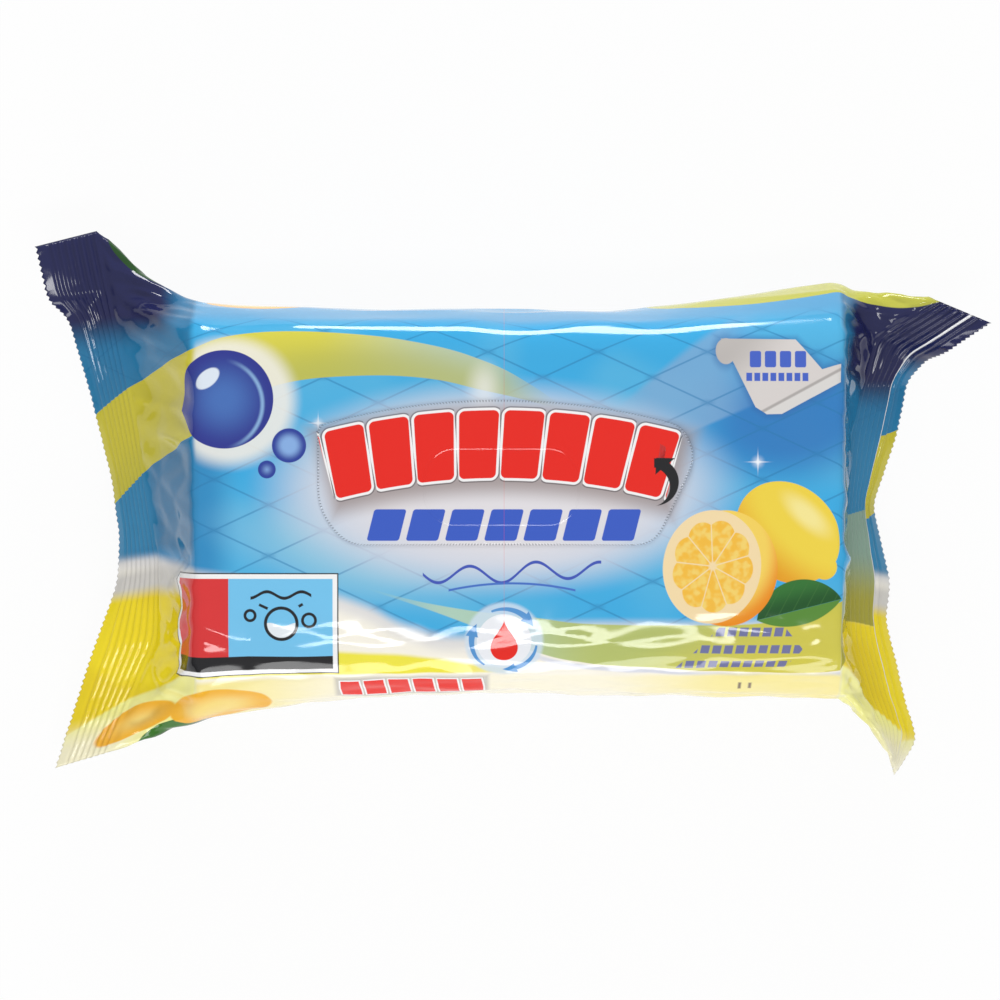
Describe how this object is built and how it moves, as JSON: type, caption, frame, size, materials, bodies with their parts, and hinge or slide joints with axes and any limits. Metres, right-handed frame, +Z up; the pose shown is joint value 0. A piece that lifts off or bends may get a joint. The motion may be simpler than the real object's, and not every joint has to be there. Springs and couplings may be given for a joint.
{
  "type": "wet wipes pack",
  "caption": "Sealed soft film pack of wet wipes, lying on its back, with crimped end seals, flared ears and a peel-off reseal label on its face.",
  "frame": {"origin": "middle of the flat back that the pack lies on", "axes": "+X along the pack from one end seal to the other, +Y across it towards the side with the upper ears, +Z up through the face with the reseal label"},
  "size_m": [0.2835, 0.1635, 0.0566],
  "materials": {
    "printed_film": "glossy printed laminate film",
    "label_film": "glossy printed label film"
  },
  "bodies": {
    "root": {"sealed_pack": "printed_film", "reseal_label": "label_film"}
  },
  "joints": []
}
